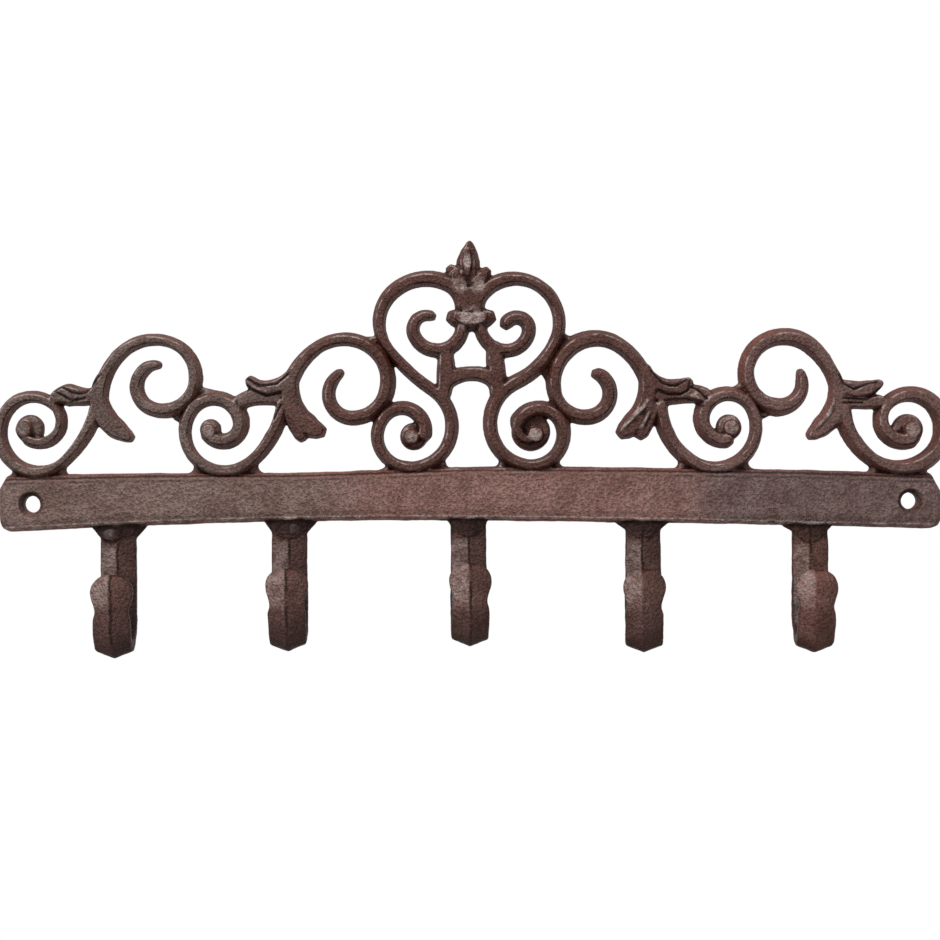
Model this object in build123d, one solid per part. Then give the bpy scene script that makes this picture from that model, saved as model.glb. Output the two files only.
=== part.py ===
from build123d import *
import math
import os

os.makedirs("parts", exist_ok=True)

# A cast iron coat rack: rail, five J hooks and an open scrollwork crest, all one casting.
# Millimetres. X runs along the rail, Z is up, the wall is the plane Y = 0 and the body grows to -Y.
# The origin is midway between the two screw holes.

# Rail, bowed up a little in the middle: its top runs smoothly through these (X, Z), its bottom is two arcs
RAIL_THICK = 6.8
HOLE_SPACING = 302.6
HOLE_TO_END = 11.5
END_X = HOLE_SPACING / 2 + HOLE_TO_END
END_CORNER_R = 4.2
LEFT_SLOPE = 2.3
RIGHT_SLOPE = 3.0
RAIL_TOP = [
    (LEFT_SLOPE - END_X, 9.6),
    (-110.0, 10.6),
    (-58.0, 10.6),
    (0.0, 12.4),
    (52.0, 12.0),
    (110.0, 11.0),
    (END_X - RIGHT_SLOPE, 9.2),
]
RAIL_BOTTOM = [
    (END_CORNER_R - END_X, -9.6),
    (-90.0, -6.9),
    (-19.0, -6.1),
    (60.0, -7.2),
    (END_X - END_CORNER_R, -9.6),
]
LEFT_TOP_Z = 5.3
RIGHT_TOP_Z = 3.0
RAIL_DRAFT = 0.7
RAIL_BEVEL = 1.5
BEVEL_DEEP = 2.0

# Screw holes
HOLE_R = 2.85
COUNTERSINK_R = 4.3
COUNTERSINK_DEEP = 1.7

# Scroll stroke: a drafted bar with a narrow crest that sits a little nearer the inside of its curl
STROKE_HIGH = 7.3
CREST_PART = 0.4
LOBE_CREST_PART = 0.58
CREST_LEAN = 0.35
LONGEST_ARC = 100.0
NOSE_SIDES = 3

# Hooks: a bar of flattened hexagonal section, ridged where the mould halves met, thinner where it leaves the rail
ROOT_HALF_WIDE = 5.7
ROOT_HALF_THICK = 3.0
BAR_HALF_WIDE = 6.1
BAR_HALF_THICK = 4.2
BAR_EDGE = 1.7
WALL_GAP = 0.3
BEND_R = 9.7
HOOK_RISE = 28.3
ROOT_GRIP = 3.0
FLARE_BACK = 0.8
FLARE_FRONT = 4.6

# Hook end from its neck to its crown: distance under the top, half width, half thickness
KNOB_STATIONS = [
    (12.4, 5.5, 4.1),
    (9.6, 6.0, 4.3),
    (6.4, 6.9, 4.9),
    (3.4, 6.5, 4.8),
    (1.2, 4.8, 3.6),
    (0.0, 2.4, 1.9),
]

# Shank centre X, drop under the rail, turn about the shank, root flare left, right and down
HOOKS = [
    (-121.5, 44.0, 1.6, 3.2, 3.4, 3.7),
    (-62.5, 43.5, 1.4, 2.8, 3.3, 3.7),
    (-0.7, 42.2, 1.4, 1.0, 0.6, 1.6),
    (59.5, 43.7, -3.4, 3.2, 2.7, 2.3),
    (117.1, 42.6, -2.6, 3.2, 1.6, 1.5),
]

# Scrolls: start X, start Z, heading, arcs as (radius, turn to the left), half width at each arc end
OUTER_VOLUTE_LEFT = (
    (-128.9, 33.5, -105),
    [(38.9, -34), (13.1, -87), (13.8, -82), (10.9, -100), (7.6, -167)],
    [2.6, 2.0, 2.7, 2.5, 2.0, 2.2],
)
OUTER_CURL_LEFT = (
    (-128.1, 37.2, 85),
    [(23.5, -43), (16.7, -65), (12.9, -84), (11.2, -94), (8.2, -120), (5.7, -48)],
    [3.0, 2.5, 2.1, 2.6, 2.7, 2.5, 1.6],
)
INNER_VOLUTE_LEFT = (
    (-64.5, 34.4, -99),
    [(33.3, -40), (14.2, -80), (13.6, -85), (9.5, -132), (6.4, -161)],
    [2.6, 2.4, 2.2, 2.5, 3.1, 2.9],
)
INNER_CURL_LEFT = (
    (-62.5, 40.8, 73),
    [(24.3, -41), (16.2, -62), (14.4, -69), (12.5, -80), (8.3, -122), (9.8, -24)],
    [3.1, 2.4, 2.6, 2.9, 2.7, 2.4, 1.8],
)
HEART_LEFT = (
    (-2.0, 67.8, 92),
    [(9.4, 63), (17.5, 69), (14.6, 83), (61.1, 20), (14.9, -79), (14.1, -87), (10.8, -113), (7.9, -150)],
    [3.3, 3.1, 2.8, 2.0, 2.3, 2.5, 2.2, 2.5, 2.8],
)
TENDRIL_LEFT = (
    (-2.5, 60.4, -95),
    [(8.6, -76), (8.9, -78), (4.9, -130)],
    [2.6, 2.7, 2.5, 2.0],
)
HEART_RIGHT = (
    (2.0, 66.6, 91),
    [(8.7, -45), (15.5, -78), (15.5, -78), (25.9, -46), (16.0, 72), (14.8, 76), (11.3, 105), (8.5, 147)],
    [3.3, 3.1, 2.3, 2.4, 2.9, 2.6, 2.5, 2.7, 3.0],
)
TENDRIL_RIGHT = (
    (3.7, 59.9, -79),
    [(9.2, 76), (8.0, 82), (4.3, 158)],
    [2.4, 2.5, 2.6, 2.7],
)
INNER_CURL_RIGHT = (
    (61.3, 41.6, 107),
    [(23.3, 41), (14.5, 73), (15.5, 66), (10.8, 86), (8.1, 121), (4.1, 37)],
    [2.8, 2.8, 3.4, 2.6, 2.9, 2.7, 2.3],
)
INNER_VOLUTE_RIGHT = (
    (65.7, 33.6, -89),
    [(24.5, 54), (14.7, 77), (14.3, 76), (9.4, 117), (7.8, 132)],
    [2.9, 2.7, 2.5, 2.3, 3.0, 2.9],
)
OUTER_CURL_RIGHT = (
    (126.4, 40.7, 104),
    [(24.4, 38), (14.4, 63), (12.6, 72), (11.7, 77), (8.3, 107), (17.3, 7)],
    [2.4, 3.2, 3.1, 2.9, 3.4, 2.3, 1.7],
)
OUTER_VOLUTE_RIGHT = (
    (128.5, 33.7, -87),
    [(25.6, 51), (16.5, 72), (13.0, 84), (11.3, 105), (7.6, 159)],
    [3.4, 2.6, 3.4, 3.4, 2.5, 3.4],
)
SCROLLS = [
    OUTER_VOLUTE_LEFT,
    OUTER_CURL_LEFT,
    INNER_VOLUTE_LEFT,
    INNER_CURL_LEFT,
    HEART_LEFT,
    TENDRIL_LEFT,
    HEART_RIGHT,
    TENDRIL_RIGHT,
    INNER_CURL_RIGHT,
    INNER_VOLUTE_RIGHT,
    OUTER_CURL_RIGHT,
    OUTER_VOLUTE_RIGHT,
]

# Volute eyes: drafted disc centre X, Z and radius, then the knob on it
EYES = [
    (-152.4, 26.0, 5.1, -153.8, 25.9, 2.6),
    (-89.9, 25.5, 3.9, -90.1, 25.0, 2.3),
    (-19.5, 22.9, 4.9, -20.2, 22.8, 2.4),
    (21.0, 24.4, 6.9, 22.5, 23.4, 2.4),
    (89.6, 25.7, 4.6, 89.9, 25.6, 2.5),
    (151.4, 24.6, 5.6, 152.4, 24.7, 2.7),
]
EYE_DISC_HIGH = 3.8
EYE_DRAFT = 0.9
KNOB_OVER = 0.3
KNOB_FOOT = 1.15
KNOB_CROWN = 0.92

# Lobes of the leaves, bars and finial: height, then stations as (X, Z, half width)
LOBES = [
    # stems under the tendrils and the arch that ties them
    (7.1, [(-8.4, 53.2, 2.6), (-8.3, 49.5, 3.1), (-8.3, 44.8, 3.4), (-9.2, 37.5, 2.8)]),
    (7.1, [(8.4, 53.6, 2.7), (8.7, 49.5, 3.3), (9.4, 44.1, 3.3), (9.0, 38.0, 2.6)]),
    (6.8, [(-9.6, 38.0, 2.4), (-5.7, 43.2, 2.9), (0.5, 44.6, 2.7), (6.8, 43.2, 2.9), (9.4, 38.0, 2.6)]),
    # finial: root, shoulders, pointed middle lobe, its bead, and two petals
    (7.2, [(0.0, 65.5, 3.4), (0.1, 69.0, 3.2), (0.0, 72.5, 2.6)]),
    (4.6, [(-0.8, 70.0, 2.6), (-4.0, 77.2, 3.6), (-6.2, 80.4, 2.4)]),
    (4.6, [(0.8, 70.0, 2.6), (3.4, 76.8, 3.6), (5.5, 79.6, 2.4)]),
    (6.0, [(-0.5, 74.0, 3.2), (-0.4, 79.6, 4.0), (-0.4, 83.4, 4.3), (-0.1, 86.9, 3.0), (0.0, 89.3, 1.5)]),
    (8.2, [(-0.7, 78.6, 0.9), (-0.9, 83.0, 2.3), (-0.7, 87.0, 0.9)]),
    (7.4, [(-0.7, 69.0, 1.4), (-2.6, 74.4, 2.1), (-4.8, 78.6, 2.3)]),
    (7.4, [(1.0, 69.0, 1.4), (2.6, 74.0, 2.1), (4.4, 78.0, 2.3)]),
    # collar under the finial: its plate and the knot on it
    (5.8, [(-5.4, 64.0, 3.2), (0.4, 63.2, 4.3), (6.1, 64.0, 3.4)]),
    (8.6, [(-3.4, 63.9, 2.5), (0.5, 63.2, 3.1), (4.4, 63.9, 2.6)]),
    # outer left leaf: folded upper lobe and a long lower tip
    (7.0, [(-128.0, 39.4, 2.6), (-133.8, 37.1, 3.3), (-139.4, 37.7, 4.1), (-142.9, 36.8, 2.9)]),
    (7.2, [(-126.2, 44.6, 2.2), (-128.4, 37.0, 3.2), (-126.4, 30.2, 3.9), (-121.7, 25.4, 3.6), (-118.1, 23.1, 2.2)]),
    # inner left leaf: curled upper lobe, its link to the volute, lower tip and its side lobe
    (7.2, [(-58.2, 49.3, 2.0), (-62.0, 43.4, 2.7), (-67.0, 40.1, 3.2), (-72.0, 39.7, 3.0), (-75.8, 42.1, 2.3)]),
    (6.4, [(-65.5, 37.0, 3.4), (-71.0, 37.0, 3.2), (-76.0, 36.5, 3.1), (-80.0, 34.6, 2.9)]),
    (7.2, [(-60.8, 45.0, 2.4), (-62.2, 38.0, 3.4), (-60.5, 31.5, 4.1), (-56.2, 26.8, 4.3), (-52.5, 25.0, 3.1)]),
    (6.6, [(-62.4, 32.5, 2.6), (-60.4, 27.4, 3.0), (-58.4, 23.1, 2.3)]),
    # inner right leaf
    (7.2, [(57.6, 49.2, 1.8), (62.0, 43.1, 2.6), (67.2, 39.6, 3.2), (72.0, 39.6, 3.2), (75.2, 41.1, 2.3)]),
    (6.4, [(65.8, 36.6, 3.3), (72.0, 36.8, 3.2), (77.5, 37.3, 3.4), (81.5, 36.6, 2.9)]),
    (7.2, [(60.3, 46.0, 2.6), (61.6, 39.0, 3.4), (60.0, 32.4, 3.7), (56.2, 27.0, 4.0), (53.4, 24.5, 3.3)]),
    (6.6, [(63.0, 33.0, 2.6), (61.0, 27.4, 2.9), (59.2, 23.9, 2.8)]),
    # outer right leaf: pointed upper lobe, link to the volute, lower tip
    (7.0, [(126.2, 40.6, 2.4), (132.6, 38.5, 3.3), (138.4, 39.1, 3.0), (141.2, 40.6, 1.8)]),
    (6.0, [(128.0, 35.0, 2.4), (134.5, 34.0, 2.3), (141.5, 34.4, 2.6)]),
    (7.2, [(124.9, 45.4, 2.0), (127.0, 37.8, 3.0), (125.4, 30.3, 3.8), (121.4, 25.5, 3.6), (118.2, 23.1, 2.3)]),
    (6.4, [(128.2, 32.0, 2.2), (126.2, 28.2, 2.5), (124.2, 25.6, 1.8)]),
    # thin ridge that runs on from the inner right volute round its eye to the knob
    (6.9, [(16.6, 28.2, 1.9), (16.3, 25.4, 1.7), (17.6, 22.9, 1.5), (20.4, 21.4, 1.3)]),
    # thin corners that ran full of iron where two scrolls touch
    (2.6, [(-86.1, 37.3, 1.6), (-93.7, 38.6, 2.0)]),
    (2.6, [(-101.6, 29.7, 1.3), (-99.6, 29.8, 2.4)]),
    (2.6, [(-38.5, 56.2, 1.3), (-33.2, 56.2, 1.6)]),
    (2.6, [(-30.5, 35.8, 2.0), (-27.6, 38.5, 1.8)]),
    (2.6, [(31.7, 56.3, 2.6), (35.8, 55.6, 1.6)]),
    (2.6, [(26.2, 44.5, 1.4), (28.5, 40.4, 1.2)]),
    (2.6, [(94.1, 40.4, 1.0), (93.3, 39.0, 2.2)]),
    (2.6, [(99.9, 30.4, 1.8), (102.1, 30.4, 1.8)]),
]

# Feet: cast webs where a volute stands on the rail, left and right X
FEET = [
    (-160.9, -137.7),
    (-98.2, -71.0),
    (-31.4, -6.0),
    (7.5, 33.2),
    (69.6, 98.7),
    (135.9, 159.5),
]
FOOT_R = 2.3
FOOT_DRAFT = 0.8
FOOT_HIGH = 3.2


def at(x, z, deep=0.0):
    """A point by its place on the wall and how far it stands off it."""
    return Vector(x, -deep, z)


def height_at(edge, x):
    """Height of a rail edge at x."""
    for (x0, z0), (x1, z1) in zip(edge, edge[1:]):
        if x <= x1:
            return z0 + (z1 - z0) * (x - x0) / (x1 - x0)
    return edge[-1][1]


def shares_of(points):
    """Each point's share of the length along a line of points."""
    run = [0.0]
    for a, b in zip(points, points[1:]):
        run.append(run[-1] + math.hypot(b[0] - a[0], b[1] - a[1]))
    return [r / run[-1] for r in run]


def stations_of_arcs(start, arcs, widths):
    """Stations (x, z, direction, half width, side of the curl) at the ends and middles of a chain of tangent arcs."""
    x, z, heading = start
    aim = math.radians(heading)
    sides = [math.copysign(1, turn) for _, turn in arcs]
    out = [(x, z, aim, widths[0], sides[0])]
    for i, (radius, turn) in enumerate(arcs):
        count = 2 * math.ceil(abs(turn) / LONGEST_ARC)
        step = math.radians(turn) / count
        chord = 2 * radius * math.sin(abs(step) / 2)
        for k in range(1, count + 1):
            x += chord * math.cos(aim + step / 2)
            z += chord * math.sin(aim + step / 2)
            aim += step
            wide = widths[i] + (widths[i + 1] - widths[i]) * k / count
            side = sides[i]
            if k == count and i + 1 < len(sides):
                side = (sides[i] + sides[i + 1]) / 2
            out.append((x, z, aim, wide, side))
    return out


def stations_of_points(points):
    """Stations at and midway between a few (x, z, half width) points joined by a smooth line."""
    shares = shares_of(points)
    line = Edge.make_spline([at(x, z) for x, z, _ in points], parameters=shares)
    places = [(shares[0], points[0][2])]
    for i in range(1, len(points)):
        places.append(((shares[i - 1] + shares[i]) / 2, (points[i - 1][2] + points[i][2]) / 2))
        places.append((shares[i], points[i][2]))
    out = []
    for share, wide in places:
        place = line.position_at(share, PositionMode.PARAMETER)
        way = line.tangent_at(share, PositionMode.PARAMETER)
        out.append((place.X, place.Z, math.atan2(way.Z, way.X), wide, 0.0))
    return out


def arcs_through(side):
    """One arc through each start, middle and end along a side."""
    return [Edge.make_three_point_arc(*side[i : i + 3]) for i in range(0, len(side) - 2, 2)]


def smooth_through(side, shares):
    """One smooth curve along a side."""
    return [Edge.make_spline(side, parameters=shares)]


def nose(a, b):
    """Straight edges round a blunt end, from a to b."""
    middle = (a + b) * 0.5
    across = a - middle
    ahead = Vector(across.Z, 0, -across.X)
    turns = [math.pi * k / NOSE_SIDES for k in range(NOSE_SIDES + 1)]
    points = [middle + across * math.cos(t) + ahead * math.sin(t) for t in turns]
    return [Edge.make_line(c, d) for c, d in zip(points, points[1:])]


def stroke_outline(stations, deep, part, lean):
    """Closed outline of a stroke at one depth, a given part of its full width."""
    left, right = [], []
    for x, z, aim, wide, side in stations:
        nx, nz = -math.sin(aim), math.cos(aim)
        half = wide * part
        shift = lean * side
        left.append(at(x + nx * (shift + half), z + nz * (shift + half), deep))
        right.append(at(x + nx * (shift - half), z + nz * (shift - half), deep))
    back = right[::-1]
    if any(station[4] for station in stations):
        there, home = arcs_through(left), arcs_through(back)
    else:
        shares = shares_of(stations)
        there = smooth_through(left, shares)
        home = smooth_through(back, [1 - s for s in shares[::-1]])
    return Wire(there + nose(left[-1], right[-1]) + home + nose(right[0], left[0]))


def stroke(stations, high, part, lean):
    """A cast stroke: full width on the wall plane, drafted up to its crest."""
    return Solid.make_loft(
        [stroke_outline(stations, 0.0, 1.0, 0.0), stroke_outline(stations, high, part, lean)], ruled=True
    )


def rail_outline(inset, deep):
    """The rail's outline, drawn in by the inset."""
    end = END_X - inset
    narrow = end / END_X
    r = END_CORNER_R - inset * 0.6
    dip = r * math.sqrt(0.5)
    top = [at(x * narrow, z - inset, deep) for x, z in RAIL_TOP]
    low = [at(x * (end - r) / (END_X - END_CORNER_R), z + inset, deep) for x, z in RAIL_BOTTOM]
    low_z = low[0].Z
    right_top = at(end, RIGHT_TOP_Z - inset * 0.3, deep)
    right_low = at(end, low_z + r, deep)
    left_low = at(-end, low_z + r, deep)
    left_top = at(-end, LEFT_TOP_Z - inset * 0.3, deep)
    return Wire(
        [
            Edge.make_spline(top, parameters=shares_of(RAIL_TOP)),
            Edge.make_line(top[-1], right_top),
            Edge.make_line(right_top, right_low),
            Edge.make_three_point_arc(right_low, at(end - r + dip, low_z + r - dip, deep), low[-1]),
            Edge.make_three_point_arc(low[4], low[3], low[2]),
            Edge.make_three_point_arc(low[2], low[1], low[0]),
            Edge.make_three_point_arc(low[0], at(-end + r - dip, low_z + r - dip, deep), left_low),
            Edge.make_line(left_low, left_top),
            Edge.make_line(left_top, top[0]),
        ]
    )


def rail():
    """The drafted rail with its bevelled face edge."""
    return Solid.make_loft(
        [
            rail_outline(0.0, 0.0),
            rail_outline(RAIL_DRAFT, RAIL_THICK - BEVEL_DEEP),
            rail_outline(RAIL_DRAFT + RAIL_BEVEL, RAIL_THICK),
        ],
        ruled=True,
    )


def facing_out(x, z, deep=0.0):
    """A plane on the rack, looking away from the wall."""
    return Plane(origin=at(x, z, deep), x_dir=(1, 0, 0), z_dir=(0, -1, 0))


def screw_hole(x):
    """Bore and countersink of one screw hole."""
    over = 1.0
    bore = Solid.make_cylinder(HOLE_R, RAIL_THICK + 2 * over, facing_out(x, 0, -over))
    slope = (COUNTERSINK_R - HOLE_R) / COUNTERSINK_DEEP
    sink = Solid.make_cone(
        HOLE_R,
        COUNTERSINK_R + slope * over,
        COUNTERSINK_DEEP + over,
        facing_out(x, 0, RAIL_THICK - COUNTERSINK_DEEP),
    )
    return [bore, sink]


def foot_outline(x0, x1, low, top, inset, deep):
    """A foot's outline: it runs out onto the rail on each side in a hollow curve."""
    r = FOOT_R
    dip = r * math.sqrt(0.5)
    x0, x1, top = x0 + inset, x1 - inset, top - inset
    left = [at(x0, top, deep), at(x0 + dip, top + r - dip, deep), at(x0 + r, top + r, deep)]
    right = [at(x1 - r, top + r, deep), at(x1 - dip, top + r - dip, deep), at(x1, top, deep)]
    return Wire(
        [
            Edge.make_three_point_arc(*left),
            Edge.make_line(left[-1], right[0]),
            Edge.make_three_point_arc(*right),
            Edge.make_line(right[-1], at(x1, low, deep)),
            Edge.make_line(at(x1, low, deep), at(x0, low, deep)),
            Edge.make_line(at(x0, low, deep), left[0]),
        ]
    )


def foot(x0, x1):
    """The low web under a volute."""
    top = height_at(RAIL_TOP, (x0 + x1) / 2)
    low = top - RAIL_BEVEL - RAIL_DRAFT
    return Solid.make_loft(
        [
            foot_outline(x0, x1, low, top, 0.0, 0.0),
            foot_outline(x0, x1, low, top, FOOT_DRAFT, FOOT_HIGH),
        ],
        ruled=True,
    )


def eye(x, z, r, knob_x, knob_z, knob_r):
    """Drafted disc closing a volute, and the tapered knob on it."""
    disc = Solid.make_cone(r, r - EYE_DRAFT, EYE_DISC_HIGH, facing_out(x, z))
    top = STROKE_HIGH + KNOB_OVER
    return [disc, Solid.make_cone(knob_r * KNOB_FOOT, knob_r * KNOB_CROWN, top, facing_out(knob_x, knob_z))]


def bar_section(place, wide, thick):
    """A level section of a hook's bar about a place, flat sided and ridged front and back."""
    e = BAR_EDGE
    corners = ((0, thick), (wide, e), (wide, -e), (0, -thick), (-wide, -e), (-wide, e))
    return Wire.make_polygon([place + Vector(u, v, 0) for u, v in corners])


def hook(x, drop, turn, flare_left, flare_right, flare_down):
    """One J hook: tapered shank, half round bend, knobbed end, and its swollen root under the rail."""
    rail_low = height_at(RAIL_BOTTOM, x)
    bottom = rail_low - drop
    bend_z = bottom + BEND_R + BAR_HALF_THICK
    mid = BAR_HALF_THICK + WALL_GAP
    top = Vector(x, -ROOT_HALF_THICK - WALL_GAP, rail_low + ROOT_GRIP)
    into = Vector(x, -mid, bend_z)
    low = Vector(x, -mid - BEND_R, bend_z - BEND_R)
    out = Vector(x, -mid - 2 * BEND_R, bend_z)
    bar = bar_section(into, BAR_HALF_WIDE, BAR_HALF_THICK)
    end = [bar_section(out, BAR_HALF_WIDE, BAR_HALF_THICK)]
    for under, wide, thick in KNOB_STATIONS:
        end.append(bar_section(Vector(x, out.Y, bottom + HOOK_RISE - under), wide, thick))
    pieces = [
        Solid.make_loft([bar_section(top, ROOT_HALF_WIDE, ROOT_HALF_THICK), bar], ruled=True),
        Solid.sweep(Face(bar), Edge.make_three_point_arc(into, low, out)),
        Solid.make_loft(end),
    ]
    pieces = [p.rotate(Axis((x, -mid, 0), (0, 0, 1)), turn) for p in pieces]
    high = rail_low + ROOT_GRIP * 0.5
    half = ROOT_HALF_WIDE
    root = Wire.make_polygon(
        [
            at(x - half - flare_left, high, FLARE_BACK),
            at(x - half - flare_left, rail_low, FLARE_BACK),
            at(x - half, rail_low - flare_down, FLARE_BACK),
            at(x + half, rail_low - flare_down, FLARE_BACK),
            at(x + half + flare_right, rail_low, FLARE_BACK),
            at(x + half + flare_right, high, FLARE_BACK),
        ]
    )
    pieces.append(Solid.extrude(Face(root), Vector(0, FLARE_BACK - FLARE_FRONT, 0)))
    return pieces


def coat_rack():
    """All the forms fused into the one casting, then bored for the screws."""
    forms = [stroke(stations_of_arcs(*s), STROKE_HIGH, CREST_PART, CREST_LEAN) for s in SCROLLS]
    forms += [stroke(stations_of_points(points), high, LOBE_CREST_PART, 0.0) for high, points in LOBES]
    for e in EYES:
        forms += eye(*e)
    forms += [foot(*f) for f in FEET]
    for h in HOOKS:
        forms += hook(*h)
    body = rail().fuse(*forms)
    for x in (-HOLE_SPACING / 2, HOLE_SPACING / 2):
        body = body.cut(*screw_hole(x))
    return body


rack = coat_rack()
export_step(rack, "parts/coat_rack.step")
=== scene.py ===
import math

import bpy
import numpy as np
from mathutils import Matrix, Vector, noise


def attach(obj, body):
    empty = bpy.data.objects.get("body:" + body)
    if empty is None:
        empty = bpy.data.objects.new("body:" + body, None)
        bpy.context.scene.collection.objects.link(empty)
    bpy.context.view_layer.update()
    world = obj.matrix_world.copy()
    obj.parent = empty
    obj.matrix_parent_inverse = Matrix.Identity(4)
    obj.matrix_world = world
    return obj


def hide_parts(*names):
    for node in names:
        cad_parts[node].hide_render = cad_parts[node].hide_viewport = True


# A sand-cast iron coat rack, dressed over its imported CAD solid. Lengths are in metres, or in mm where their
# comment says so. The wall is the plane Y = 0, the rack's face looks to -Y and Z is up.
MM = 0.001

# Surface of the casting
NET = 0.4 * MM
WELDED = 0.001 * MM
MOST_TRIANGLES = 190_000
EDGE_ROUNDS = 5
FORM_ROUNDS = 18
HOLLOW_DEEP = 0.25 * MM
REGAINED = 0.25 * MM
SWELL = 0.26 * MM
SWELL_EVERY = 8.0 * MM
RIPPLE = 0.12 * MM
RIPPLE_EVERY = 2.2 * MM
BACK_FADE = 2.0 * MM
SEED_STEP = 17.3

# Sizes of the material's noises, and the bump distance of its sand grain
CLOUD_EVERY = 30 * MM
BROAD_EVERY = 9 * MM
PATCH_EVERY = 3.2 * MM
GRAIN_EVERY = 0.95 * MM
GRAIN_DEEP = 1.7 * MM

# Camera: level with the rack, square to the wall
CAMERA_AT = (-0.0035, -0.775, 0.0165)
SHOWN_WIDTH = 0.3262
SENSOR = 36.0
SHIFT = (0.0105, -0.0161)
CAMERA_ROLL = math.radians(0.2225)
NEAR_CLIP = 0.01

# Studio: floor, light from all round, and lamps as place, width and watts
FLOOR_Z = -0.30
FLOOR_HALF = 0.6
FLOOR_PAINT = (0.8, 0.8, 0.79, 1.0)
AMBIENT = 0.16
LAMPS_AIM = (0, 0, 0.02)
LAMPS = {
    "key": ((-0.30, -0.65, 0.75), 0.45, 12.4),
    "fill": ((0.45, -0.9, 0.25), 0.7, 3.4),
}


def srgb(red, green, blue):
    """A screen colour of 0 to 255 as the light values that shaders use."""
    steps = [c / 255 for c in (red, green, blue)]
    return [c / 12.92 if c <= 0.04045 else ((c + 0.055) / 1.055) ** 2.4 for c in steps] + [1.0]


RAIL_LEFT = srgb(118, 98, 92)
RAIL_MIDDLE = srgb(130, 99, 92)
RAIL_RIGHT = srgb(107, 88, 85)
CREST_LEFT = srgb(102, 86, 81)
CREST_HEART = srgb(87, 61, 55)
CREST_RIGHT = srgb(104, 80, 75)
HOOK_BROWN = srgb(84, 61, 56)
HOOK_RED = srgb(98, 69, 62)
WALL_STAIN = (1.15, 0.68, 0.57, 1.0)
DIRT_STAIN = (0.62, 0.54, 0.52, 1.0)
# Grey of iron worn bright, also used for painted highlights on lit edges, the rail's lip and the hooks' left
# facets
WORN_AND_HIGHLIGHT_GREY = srgb(168, 151, 146)
# Near black of the mould seams, also used for painted shade on edges, rail lines, hole rims, corners, creases
# and undersides
SEAM_AND_SHADE_BLACK = srgb(26, 15, 12)

# Hooks, in mm: ridge line X, the X it gains for each mm off the wall, and Z of the rail's underside there
HOOK_PLACES = [
    (-121.5, 0.028, -8.1),
    (-62.5, 0.024, -6.6),
    (-0.7, 0.024, -6.3),
    (59.5, -0.059, -7.2),
    (117.1, -0.045, -8.6),
]

# A point farther than the reach from every ridge line isn't hook and is given this depth, in mm
HOOK_REACH = 13.0
NO_HOOK_DEPTH = -9.0

# Rail edges as X, Z in mm, and the Y in mm that its face lies between
RAIL_TOP = [
    (-160.5, 9.6),
    (-110.0, 10.6),
    (-58.0, 10.6),
    (0.0, 12.4),
    (52.0, 12.0),
    (110.0, 11.0),
    (159.8, 9.2),
]
RAIL_LOW = [(-158.6, -9.6), (-90.0, -6.9), (-19.0, -6.1), (60.0, -7.2), (158.6, -9.6)]
FACE_BACK = -3.8
FACE_FRONT = -7.4

# Rolled lip along the rail's lower edge, in mm: its height over the edge, its half width and its relief
LIP_OVER = 1.35
LIP_HALF = 0.95
LIP_HIGH = 0.75

# Creases and raised lines of the leaves, from left to right, as lines of X, Z in mm. LEAF_BACK is how far off
# the wall they start
FOLDS = [
    [(-143, 39), (-140.5, 40.5), (-137, 38.5), (-134.5, 38), (-132, 38.5), (-127.5, 44)],
    [(-142, 38.5), (-137.5, 36)],
    [(-137, 35.5), (-132.5, 36.5)],
    [(-76.5, 43), (-72.5, 40.5), (-66.5, 41), (-62.5, 44.5)],
    [(-76.5, 40.5), (-74.5, 39), (-70, 37), (-65.5, 38)],
    [(-65, 34), (-67.5, 29)],
    [(62.5, 45), (66, 41), (68.5, 40), (71, 40), (74.5, 42)],
    [(65, 38.5), (68, 37), (72.5, 37), (75, 38.5), (75.5, 41.5)],
    [(76, 39.5), (78.5, 38.5), (81.5, 35.5)],
    [(67, 35), (75, 35.5), (78, 33.5), (80, 33)],
    [(127, 43.5), (128.5, 40.5), (132, 38.5), (137, 40.5), (140, 41)],
    [(128.5, 35.5), (136.5, 35), (138.5, 36.5), (140.5, 38.5)],
    [(128.5, 34), (135, 34)],
]
RIDGES = [
    [(-76, 41.5), (-74.5, 40), (-70, 38.5)],
    [(61, 35), (60, 33), (52.5, 25.5)],
    [(61.5, 30.5), (59, 25.5)],
    [(76.5, 36.5), (80, 35)],
    [(125, 34.5), (123, 29.5), (118.5, 25)],
]
CREASE_DEEP = 0.7
CREASE_WIDE = 0.5
LEAF_BACK = 3.0

# Lumps of metal on the hook roots and leaf links, in mm: X, Z, half width, half height and relief. LUMP_BACK
# is how far off the wall they start
LUMPS = [
    (-123.5, -10.6, 3.6, 2.1, 1.1),
    (-62.0, -9.4, 4.4, 2.6, 1.0),
    (-0.7, -9.2, 3.8, 2.2, 0.8),
    (59.5, -10.0, 4.0, 2.3, 0.8),
    (117.0, -11.4, 4.0, 2.3, 0.8),
    (-78.1, 35.3, 1.9, 1.9, 0.8),
    (78.6, 36.4, 2.6, 1.4, 0.6),
    (140.2, 33.6, 2.4, 1.2, 0.5),
]
LUMP_BACK = 4.0

# Share of a normal that looks to the front: no lines or lumps up to the first, all of them from the second
FACING_NONE = 0.2
FACING_ALL = 0.6

# Places rubbed bright by hands, in mm: X, Z, radius and how strongly. RUB_EDGE is how sharply they end
RUBBED = [
    (-0.8, 83.0, 2.8, 1.2),
    (0.5, 63.2, 5.0, 0.9),
    (-3.0, 75.0, 3.0, 0.9),
    (2.8, 75.0, 3.0, 0.9),
    (22.5, 23.4, 2.7, 0.9),
    (89.9, 25.6, 2.6, 0.55),
    (152.4, 24.7, 2.9, 0.55),
    (-20.2, 22.8, 2.4, 0.7),
    (-90.1, 25.0, 2.2, 0.4),
    (-153.8, 25.9, 2.4, 0.4),
    (-124.4, -10.0, 2.2, 0.7),
    (-61.0, -8.4, 1.8, 0.5),
]
RUB_EDGE = 2.5

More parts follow.
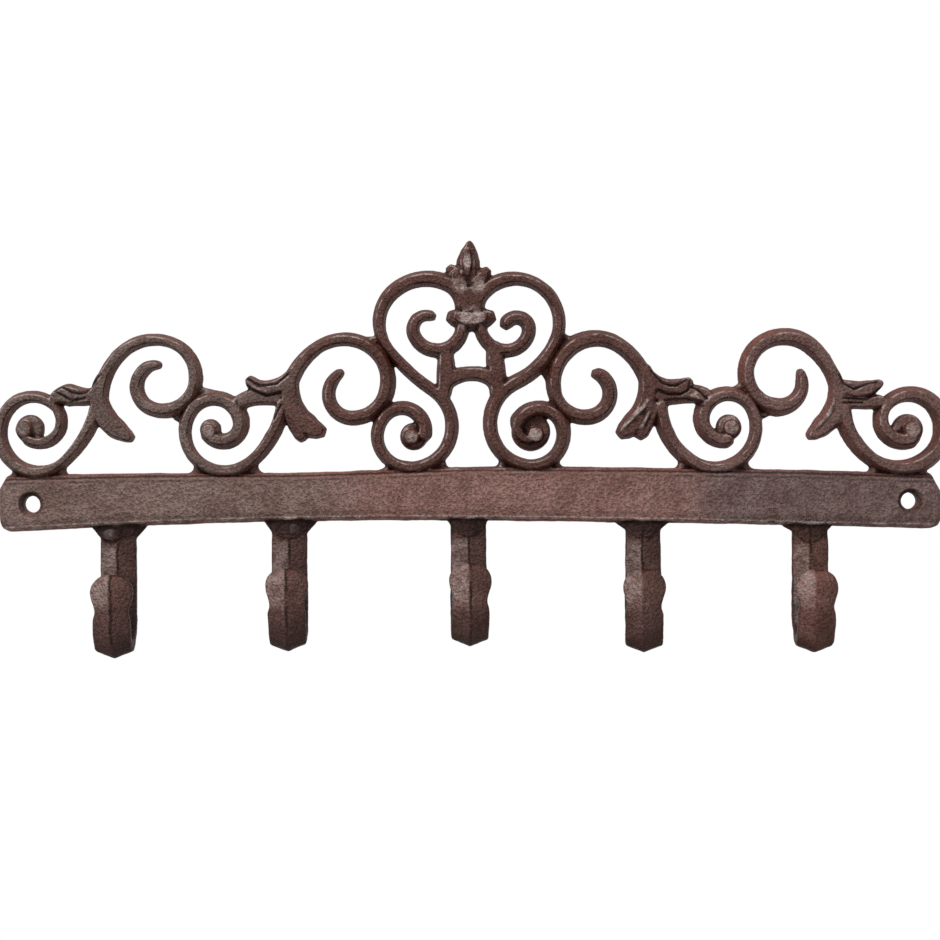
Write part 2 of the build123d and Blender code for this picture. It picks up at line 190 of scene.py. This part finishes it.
# Screw holes as X, Z, the radius of their sunk rims and how soft its edge is, in mm
HOLE_SPACING = 302.6
HOLES = [(-HOLE_SPACING / 2, 0.0), (HOLE_SPACING / 2, 0.0)]
SUNK_R = 4.3
SUNK_EDGE = 0.6

# Lengths kept on the mesh as 0 to 1: the mm that 0 and 1 stand for
KEPT_LENGTHS = {
    "across": (-20.0, 20.0),
    "depth": (-12.0, 48.0),
    "under_top": (0.0, 25.0),
    "over_low": (0.0, 25.0),
}


def neighbours_mean(values, pairs, count):
    """Each vertex's mean over the vertices that share an edge with it."""
    a, b = pairs[:, 0], pairs[:, 1]
    around = np.bincount(a, minlength=count) + np.bincount(b, minlength=count)
    total = np.empty_like(values)
    for axis in range(values.shape[1]):
        column = values[:, axis]
        total[:, axis] = np.bincount(a, column[b], count) + np.bincount(b, column[a], count)
    return total / around[:, None]


def relaxed(points, pairs, rounds):
    """The points drawn towards their neighbours a number of times."""
    for _ in range(rounds):
        points = (points + neighbours_mean(points, pairs, len(points))) / 2
    return points


def read_vectors(source, name):
    """Three numbers of each item of a mesh collection, as an array."""
    flat = np.empty(len(source) * 3, dtype=np.float32)
    source.foreach_get(name, flat)
    return flat.reshape(-1, 3).astype(float)


def put_points(mesh, points):
    """Moves the mesh's vertices to the points."""
    mesh.vertices.foreach_set("co", points.astype(np.float32).ravel())
    mesh.update()


def edges_of(mesh):
    """The mesh's edges as pairs of vertex numbers."""
    flat = np.empty(len(mesh.edges) * 2, dtype=np.int32)
    mesh.edges.foreach_get("vertices", flat)
    return flat.reshape(-1, 2)


def unevenness(points, every, seed):
    """Smooth noise of about -1 to 1 at each point."""
    shifted = points / every + seed * SEED_STEP
    return np.array([noise.noise(Vector(p)) for p in shifted])


def smooth(share):
    """A share of 0 to 1 eased at both ends."""
    return share * share * (3 - 2 * share)


def hook_places(points):
    """For each point the nearest hook: X from its ridge line and depth under the rail, in mm."""
    x, y, z = (points / MM).T
    across = np.array([x - ridge + lean * y for ridge, lean, _ in HOOK_PLACES])
    nearest = np.abs(across).argmin(axis=0)
    across = across[nearest, np.arange(len(points))]
    depth = np.array([low for _, _, low in HOOK_PLACES])[nearest] - z
    return across, np.where(np.abs(across) < HOOK_REACH, depth, NO_HOOK_DEPTH)


def rail_depths(points):
    """How far each point lies under the rail's top edge and over its lower one, in mm."""
    x, _, z = (points / MM).T
    top = np.interp(x, *zip(*RAIL_TOP))
    low = np.polyval(np.polyfit(*zip(*RAIL_LOW), 4), x)
    return top - z, z - low


def rub(points):
    """How strongly each point is rubbed."""
    x, _, z = (points / MM).T
    near = [
        strength * np.clip(RUB_EDGE * (1 - np.hypot(x - spot_x, z - spot_z) / radius), 0, 1)
        for spot_x, spot_z, radius, strength in RUBBED
    ]
    return np.max(near, axis=0)


def lumps(points):
    """How far each point of the front is raised by the lumps, in mm."""
    x, y, z = (points / MM).T
    raised = [
        high * np.sqrt(np.clip(1 - ((x - at_x) / half_x) ** 2 - ((z - at_z) / half_z) ** 2, 0, 1))
        for at_x, at_z, half_x, half_z, high in LUMPS
    ]
    return np.max(raised, axis=0) * np.clip(-y - LUMP_BACK, 0, 1)


def sunk(points):
    """1 within the sunk rims of the screw holes and 0 outside them."""
    x, _, z = (points / MM).T
    nearest = np.min([np.hypot(x - at_x, z - at_z) for at_x, at_z in HOLES], axis=0)
    return np.clip((SUNK_R - nearest) / SUNK_EDGE + 0.5, 0, 1)


def along(points, lines):
    """How near each point of the front is to any of the lines, 1 on a line and 0 well off it."""
    x, y, z = (points / MM).T
    nearest = np.full(len(points), np.inf)
    for line in lines:
        for (x0, z0), (x1, z1) in zip(line, line[1:]):
            run_x, run_z = x1 - x0, z1 - z0
            part = np.clip(((x - x0) * run_x + (z - z0) * run_z) / (run_x**2 + run_z**2), 0, 1)
            nearest = np.minimum(nearest, np.hypot(x - x0 - part * run_x, z - z0 - part * run_z))
    return np.exp(-((nearest / CREASE_WIDE) ** 2)) * np.clip(-y - LEAF_BACK, 0, 1)


def swelling(points, rubbed):
    """How far each point moves out: width regained after relaxing, and unevenness. The back stays flat."""
    swell = REGAINED * (1 - sunk(points))
    swell += SWELL * unevenness(points, SWELL_EVERY, 1)
    swell += RIPPLE * unevenness(points, RIPPLE_EVERY, 2)
    swell += rubbed * RIPPLE * 2 * unevenness(points, RIPPLE_EVERY / 2, 3)
    return swell * np.clip(-points[:, 1] / BACK_FADE, 0, 1)


def rolled_lip(points):
    """How far each point is raised by the lip along the rail's lower edge, in mm."""
    y = points[:, 1] / MM
    under_top, over_low = rail_depths(points)
    on_face = (y < FACE_BACK) & (y > FACE_FRONT) & (under_top > 0)
    return LIP_HIGH * on_face * smooth(np.clip(1 - np.abs(over_low - LIP_OVER) / LIP_HALF, 0, 1))


def keep_attribute(mesh, name, values):
    """Stores one number a vertex for the material."""
    layer = mesh.attributes.new(name, "FLOAT", "POINT")
    layer.data.foreach_set("value", np.clip(values, 0, 1).astype(np.float32))


def keep_length(mesh, name, values):
    """Stores a length in mm for each vertex, as 0 to 1 over the range that it is kept in."""
    low, high = KEPT_LENGTHS[name]
    keep_attribute(mesh, name, (values - low) / (high - low))


def with_modifiers(source, *settings):
    """A new mesh: the source's, after modifiers given as (kind, {setting: value})."""
    worker = bpy.data.objects.new("worker", source.data.copy())
    bpy.context.scene.collection.objects.link(worker)
    for kind, values in settings:
        modifier = worker.modifiers.new(kind.lower(), kind)
        for key, value in values.items():
            setattr(modifier, key, value)
    graph = bpy.context.evaluated_depsgraph_get()
    mesh = bpy.data.meshes.new_from_object(worker.evaluated_get(graph))
    bpy.data.objects.remove(worker)
    return mesh


def keep_all(mesh, points, form, rubbed, crease):
    """Stores what wear, seams and painted light follow: hollows, places on the hooks and the rail, and marks.
    """
    normals = read_vectors(mesh.vertex_normals, "vector")
    keep_attribute(mesh, "hollow", np.einsum("ij,ij->i", form - points, normals) / HOLLOW_DEEP)
    lengths = hook_places(points) + rail_depths(points)
    for name, values in zip(("across", "depth", "under_top", "over_low"), lengths):
        keep_length(mesh, name, values)
    keep_attribute(mesh, "rubbed", rubbed)
    keep_attribute(mesh, "crease", crease)
    keep_attribute(mesh, "sunk", sunk(points))


def casting(source):
    """The solid with cast edges, a swelling surface and low relief."""
    mesh = with_modifiers(
        source,
        ("WELD", {"merge_threshold": WELDED}),
        ("REMESH", {"mode": "VOXEL", "voxel_size": NET}),
    )
    pairs = edges_of(mesh)
    points = relaxed(read_vectors(mesh.vertices, "co"), pairs, EDGE_ROUNDS)
    put_points(mesh, points)
    normals = read_vectors(mesh.vertex_normals, "vector")
    rubbed = rub(points)
    points += normals * swelling(points, rubbed)[:, None]
    points[:, 1] -= MM * rolled_lip(points)
    crease, raised = along(points, FOLDS), along(points, RIDGES)
    facing = np.clip((-normals[:, 1] - FACING_NONE) / (FACING_ALL - FACING_NONE), 0, 1)
    points[:, 1] -= MM * facing * (CREASE_DEEP * (raised - crease) + lumps(points))
    put_points(mesh, points)
    keep_all(mesh, points, relaxed(points, pairs, FORM_ROUNDS), np.maximum(rubbed, raised), crease)
    piece = bpy.data.objects.new("casting", mesh)
    bpy.context.scene.collection.objects.link(piece)
    share = MOST_TRIANGLES / (2 * len(mesh.polygons))
    piece.data = with_modifiers(piece, ("DECIMATE", {"ratio": min(1.0, share)}))
    piece.data.shade_smooth()
    return piece


class Nodes:
    """Short ways to add shader nodes to one material or world."""

    def __init__(self, tree):
        self.tree = tree
        tree.nodes.clear()

    def fill(self, node, inputs):
        """Gives a node its inputs, as values or as other nodes' outputs."""
        for key, value in dict(inputs).items():
            if isinstance(value, bpy.types.NodeSocket):
                self.tree.links.new(value, node.inputs[key])
            else:
                node.inputs[key].default_value = value
        return node

    def add(self, kind, inputs=(), **settings):
        """A node with its settings and inputs."""
        node = self.tree.nodes.new(kind)
        for key, value in settings.items():
            setattr(node, key, value)
        return self.fill(node, inputs)

    def maths(self, operation, a, b=0.0):
        """One sum on two numbers."""
        return self.add("ShaderNodeMath", {0: a, 1: b}, operation=operation).outputs[0]

    def product(self, first, *others):
        """Numbers multiplied together."""
        for other in others:
            first = self.maths("MULTIPLY", first, other)
        return first

    def apart(self, a, b):
        """How far two numbers are apart."""
        return self.maths("ABSOLUTE", self.maths("SUBTRACT", a, b))

    def ramp(self, value, low, high, to_low=0.0, to_high=1.0):
        """The value's place between low and high, smoothed."""
        inputs = {0: value, 1: low, 2: high, 3: to_low, 4: to_high}
        return self.add("ShaderNodeMapRange", inputs, interpolation_type="SMOOTHSTEP").outputs[0]

    def only(self, where, value):
        """The value where told, and 1 elsewhere."""
        return self.add("ShaderNodeMix", {0: where, 2: 1.0, 3: value}, data_type="FLOAT").outputs[0]

    def mix(self, share, a, b):
        """Colour a turning into colour b."""
        node = self.add("ShaderNodeMix", {"Factor": share}, data_type="RGBA")
        return self.fill(node, {6: a, 7: b}).outputs[2]

    def multiplied(self, a, b):
        """One colour times another."""
        node = self.add("ShaderNodeMix", {"Factor": 1.0}, data_type="RGBA", blend_type="MULTIPLY")
        return self.fill(node, {6: a, 7: b}).outputs[2]

    def scaled(self, colour, by):
        """A colour made lighter or darker by a number."""
        return self.add("ShaderNodeVectorMath", {0: colour, "Scale": by}, operation="SCALE").outputs[0]

    def attribute(self, name):
        """A number kept on the mesh."""
        return self.add("ShaderNodeAttribute", attribute_name=name).outputs["Fac"]

    def kept_length(self, name):
        """A length kept on the mesh, in mm."""
        low, high = KEPT_LENGTHS[name]
        return self.maths("ADD", self.product(self.attribute(name), high - low), low)

    def noise(self, place, every, detail=2.0, roughness=0.5):
        """Noise of 0 to 1 that repeats its size about every given length."""
        inputs = {"Vector": place, "Scale": 1 / every, "Detail": detail, "Roughness": roughness}
        return self.add("ShaderNodeTexNoise", inputs).outputs[0]

    def strayed(self, value, by, wander):
        """The value moved to either side by up to half a length, as a noise says."""
        return self.maths("ADD", value, self.product(self.maths("SUBTRACT", by, 0.5), wander))


class Iron(Nodes):
    """Rusty brown cast iron, coloured in steps: each takes the colour so far and gives it back changed."""

    def __init__(self, tree):
        super().__init__(tree)
        place = self.add("ShaderNodeTexCoord").outputs["Object"]
        self.x, self.y, self.z = self.add("ShaderNodeSeparateXYZ", {0: place}).outputs
        normal = self.add("ShaderNodeNewGeometry").outputs["Normal"]
        self.right, inward, self.up = self.add("ShaderNodeSeparateXYZ", {0: normal}).outputs
        self.out = self.product(inward, -1.0)

        self.cloud = self.noise(place, CLOUD_EVERY, 2)
        self.broad = self.noise(place, BROAD_EVERY, 3)
        self.patch = self.noise(place, PATCH_EVERY, 3)
        self.grain = self.noise(place, GRAIN_EVERY, 2, 0.6)
        self.broken = self.ramp(self.patch, 0.42, 0.60, 0.1, 1.0)

        # which part of the casting: hooks below, crest above, rail between, and the knobs at the hooks' ends
        self.across = self.kept_length("across")
        self.depth = self.kept_length("depth")
        self.below = self.ramp(self.depth, -0.9, -0.2)
        self.above = self.ramp(self.z, 10.5 * MM, 12.5 * MM)
        self.on_body = self.maths("SUBTRACT", 1.0, self.below)
        self.on_rail = self.product(self.on_body, self.maths("SUBTRACT", 1.0, self.above))
        self.knob = self.product(self.ramp(self.y, -20 * MM, -23 * MM), self.ramp(self.z, -37 * MM, -31 * MM))

    def regions(self):
        """The bare colour of rail, crest and hooks, each changing along the rack."""
        x = self.strayed(self.x, self.cloud, 60 * MM)
        rail = self.mix(self.ramp(x, -75 * MM, -25 * MM), RAIL_LEFT, RAIL_MIDDLE)
        rail = self.mix(self.ramp(x, 55 * MM, 100 * MM), rail, RAIL_RIGHT)
        crest = self.mix(self.ramp(x, -85 * MM, -45 * MM), CREST_LEFT, CREST_HEART)
        crest = self.mix(self.ramp(x, 50 * MM, 85 * MM), crest, CREST_RIGHT)
        hooks = self.mix(self.ramp(self.x, 80 * MM, 100 * MM), HOOK_BROWN, HOOK_RED)
        return self.mix(self.below, self.mix(self.above, rail, crest), hooks)

    def stains(self, colour):
        """Walls redder than faces, and grime in broad patches."""
        colour = self.mix(self.ramp(self.out, 0.3, 0.8), self.multiplied(colour, WALL_STAIN), colour)
        dirty = self.ramp(self.broad, 0.64, 0.36, 0.0, 0.65)
        return self.mix(dirty, colour, self.multiplied(colour, DIRT_STAIN))

    def shoulder_highlight_and_shade(self, colour):
        """Broken edges between face and wall: painted highlight on a scroll's upper left, painted shade on
        its lower right.
        """
        edge = self.product(self.ramp(self.out, 0.96, 0.80), self.ramp(self.out, 0.30, 0.55))
        edge = self.product(edge, self.broken, self.on_body)
        # How far the normal looks up and to the left, towards the key lamp: painted highlight there, painted
        # shade away from it
        upper = self.maths("SUBTRACT", self.product(self.up, 0.8), self.product(self.right, 0.5))
        upper = self.product(upper, self.above)
        bright = self.product(edge, self.ramp(upper, 0.05, 0.45), 0.75)
        black = self.product(edge, self.ramp(upper, -0.05, -0.45), 0.85)
        return self.mix(black, self.mix(bright, colour, WORN_AND_HIGHLIGHT_GREY), SEAM_AND_SHADE_BLACK)

    def rail_shade_and_highlight(self, colour):
        """Painted shade in lines under the rail's top edge and in a band over the lower edge's lip, which
        gets a painted highlight.
        """
        under_top = self.strayed(self.kept_length("under_top"), self.patch, 0.9)
        over_low = self.strayed(self.kept_length("over_low"), self.patch, 0.9)
        first = self.ramp(self.apart(under_top, 1.15), 0.55, 0.15, 0.0, 0.75)
        second = self.ramp(self.apart(under_top, 2.6), 0.60, 0.15, 0.0, 0.55)
        second = self.product(second, self.ramp(self.broad, 0.40, 0.60))
        lines = self.product(self.maths("MAXIMUM", first, second), self.on_rail)
        colour = self.mix(lines, colour, SEAM_AND_SHADE_BLACK)
        band = self.ramp(self.apart(over_low, 3.0), 1.3, 0.4, 1.0, 0.80)
        colour = self.scaled(colour, self.only(self.on_rail, band))
        lip = self.ramp(self.apart(over_low, LIP_OVER), 0.8, 0.3, 0.0, 0.6)
        return self.mix(self.product(lip, self.broken, self.on_rail), colour, WORN_AND_HIGHLIGHT_GREY)

    def rubbed_spots(self, colour):
        """Spots rubbed bright by hands."""
        spots = self.product(self.attribute("rubbed"), self.ramp(self.out, 0.3, 0.8))
        return self.mix(self.product(spots, self.ramp(self.patch, 0.35, 0.6, 0.25, 0.8)), colour, WORN_AND_HIGHLIGHT_GREY)

    def hook_painted_shading(self, colour):
        """Hooks: painted shade right of the ridge and at the rims, painted shadow behind the knobs and at the
        roots, lighter knobs.
        """
        side = self.ramp(self.across, -1.0, 1.5, 1.08, 0.86)
        fall = self.ramp(self.across, 1.5, 6.5, 1.0, 0.86)
        facing = self.ramp(self.out, 0.30, 0.75)
        end = self.ramp(self.product(self.knob, facing), 0.0, 1.0, 1.0, 1.5)
        rim = self.ramp(facing, 0.0, 1.0, 0.45, 1.0)
        # Painted shadow of the knobs on the bars behind them
        behind = self.product(self.ramp(self.z, -23 * MM, -29 * MM), self.ramp(self.y, -17 * MM, -14 * MM))
        shade = self.ramp(behind, 0.0, 1.0, 1.0, 0.5)
        # Painted shadow under the rail at the hooks' roots
        ragged = self.maths("ADD", self.depth, self.product(self.patch, 4.0))
        root = self.ramp(ragged, 8.0, 4.5, 1.0, 0.36)
        painted_shading = self.product(side, fall, end, rim, shade, root)
        return self.scaled(colour, self.only(self.below, painted_shading))

    def hook_facet_highlights(self, colour):
        """Painted highlight on the left facets of the knobs and of the upright bars, the facets that face the
        light.
        """
        knob_highlight = self.product(self.knob, self.ramp(self.across, -0.3, -1.2))
        knob_highlight = self.product(knob_highlight, self.ramp(self.patch, 0.35, 0.62, 0.1, 0.42))
        bar = self.product(self.ramp(self.y, -16 * MM, -13 * MM), self.ramp(self.depth, 5.0, 8.0))
        left_facet = self.product(self.ramp(self.across, 0.0, -1.0), self.ramp(self.out, 0.6, 0.85))
        bar_highlight = self.product(bar, left_facet, self.ramp(self.patch, 0.35, 0.62, 0.1, 0.34))
        facet_highlight = self.product(self.maths("MAXIMUM", knob_highlight, bar_highlight), self.below)
        return self.mix(facet_highlight, colour, WORN_AND_HIGHLIGHT_GREY)

    def hook_seams(self, colour):
        """The seam where the mould's halves met, fainter on the knobs of the two right hooks."""
        off_seam = self.maths("ABSOLUTE", self.strayed(self.across, self.patch, 1.6))
        seam = self.product(self.ramp(off_seam, 0.75, 0.15), self.ramp(self.broad, 0.35, 0.55, 0.15, 0.85))
        on_left = self.ramp(self.x, 30 * MM, 40 * MM, 1.0, 0.3)
        on_bar = self.ramp(self.y, -18 * MM, -14 * MM)
        seam = self.product(seam, self.maths("MAXIMUM", on_left, on_bar), self.below)
        return self.mix(seam, colour, SEAM_AND_SHADE_BLACK)

    def hole_rim_shadows(self, colour):
        """Sunk rims of the screw holes: painted shade, more so at the upper left, whose walls face away from
        the light.
        """
        rim = self.product(self.attribute("sunk"), self.ramp(self.out, 0.95, 0.80))
        shade = self.ramp(self.maths("SUBTRACT", self.right, self.up), -0.6, 0.9, 0.35, 0.8)
        return self.mix(self.product(rim, shade), colour, SEAM_AND_SHADE_BLACK)

    def hollow_shade(self, colour):
        """Painted shade in corners and creases, and a little on undersides."""
        corners = self.ramp(self.attribute("hollow"), 0.05, 0.7)
        corners = self.product(corners, self.ramp(self.patch, 0.2, 0.5, 0.6, 0.95))
        creases = self.ramp(self.attribute("crease"), 0.2, 0.8, 0.0, 0.85)
        colour = self.mix(self.maths("MAXIMUM", corners, creases), colour, SEAM_AND_SHADE_BLACK)
        return self.mix(self.ramp(self.up, -0.35, -0.85, 0.0, 0.15), colour, SEAM_AND_SHADE_BLACK)

    def surface(self, colour):
        """The shader, with sand grain in its colour and as relief."""
        colour = self.scaled(colour, self.ramp(self.grain, 0.36, 0.64, 0.74, 1.26))
        bump = self.add("ShaderNodeBump", {"Strength": 1.0, "Distance": GRAIN_DEEP, "Height": self.grain})
        shader = self.add(
            "ShaderNodeBsdfPrincipled",
            {
                "Base Color": colour,
                "Roughness": 0.5,
                "Specular IOR Level": 0.08,
                "Normal": bump.outputs[0],
            },
        )
        self.add("ShaderNodeOutputMaterial", {"Surface": shader.outputs[0]})


def iron():
    """The rack's one material."""
    material = bpy.data.materials.new("iron")
    material.use_nodes = True
    n = Iron(material.node_tree)
    colour = n.regions()
    steps = (
        n.stains,
        n.shoulder_highlight_and_shade,
        n.rail_shade_and_highlight,
        n.rubbed_spots,
        n.hook_painted_shading,
        n.hook_facet_highlights,
        n.hook_seams,
        n.hole_rim_shadows,
        n.hollow_shade,
    )
    for step in steps:
        colour = step(colour)
    n.surface(colour)
    return material


def floor():
    """A plain pale floor, part of the studio."""
    bpy.ops.mesh.primitive_plane_add(size=2 * FLOOR_HALF, location=(0, 0, FLOOR_Z))
    plane = bpy.context.object
    plane.name = "floor"
    material = bpy.data.materials.new("floor_paint")
    material.use_nodes = True
    n = Nodes(material.node_tree)
    shader = n.add("ShaderNodeBsdfPrincipled", {"Base Color": FLOOR_PAINT, "Roughness": 0.9})
    n.add("ShaderNodeOutputMaterial", {"Surface": shader.outputs[0]})
    plane.data.materials.append(material)


def surroundings():
    """Even soft light all round, seen as a white background."""
    world = bpy.data.worlds.new("studio")
    world.use_nodes = True
    bpy.context.scene.world = world
    n = Nodes(world.node_tree)
    path = n.add("ShaderNodeLightPath").outputs
    seen = n.maths("MAXIMUM", path["Is Camera Ray"], path["Is Glossy Ray"])
    seen = n.maths("MAXIMUM", seen, path["Is Transmission Ray"])
    strength = n.add("ShaderNodeMapRange", {0: seen, 3: AMBIENT, 4: 1.0}).outputs[0]
    background = n.add("ShaderNodeBackground", {"Color": (1, 1, 1, 1), "Strength": strength})
    n.add("ShaderNodeOutputWorld", {"Surface": background.outputs[0]})


def lamp(name, at, size, watts):
    """One large soft lamp aimed at the rack."""
    data = bpy.data.lights.new(name, "AREA")
    data.size = size
    data.energy = watts
    thing = bpy.data.objects.new(name, data)
    thing.location = at
    thing.rotation_mode = "QUATERNION"
    thing.rotation_quaternion = (Vector(LAMPS_AIM) - Vector(at)).to_track_quat("-Z", "Y")
    bpy.context.scene.collection.objects.link(thing)


def camera():
    """The photograph's view."""
    data = bpy.data.cameras.new("camera")
    data.sensor_width = SENSOR
    data.lens = SENSOR * -CAMERA_AT[1] / SHOWN_WIDTH
    data.shift_x, data.shift_y = SHIFT
    data.clip_start = NEAR_CLIP
    thing = bpy.data.objects.new("camera", data)
    thing.location = CAMERA_AT
    thing.rotation_euler = (math.radians(90), CAMERA_ROLL, 0)
    bpy.context.scene.collection.objects.link(thing)
    bpy.context.scene.camera = thing


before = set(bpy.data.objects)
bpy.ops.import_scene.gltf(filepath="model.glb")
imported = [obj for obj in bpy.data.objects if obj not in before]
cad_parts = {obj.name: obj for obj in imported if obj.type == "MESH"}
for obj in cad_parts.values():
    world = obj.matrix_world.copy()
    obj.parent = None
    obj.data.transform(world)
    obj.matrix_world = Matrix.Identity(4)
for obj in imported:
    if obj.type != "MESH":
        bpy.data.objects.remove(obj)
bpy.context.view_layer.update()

rack = casting(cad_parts["coat_rack"])
rack.data.materials.clear()
rack.data.materials.append(iron())
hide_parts("coat_rack")
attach(rack, "root")

floor()
surroundings()
for lamp_name, (lamp_at, lamp_size, lamp_watts) in LAMPS.items():
    lamp(lamp_name, lamp_at, lamp_size, lamp_watts)
camera()
bpy.context.scene.view_settings.view_transform = "Standard"
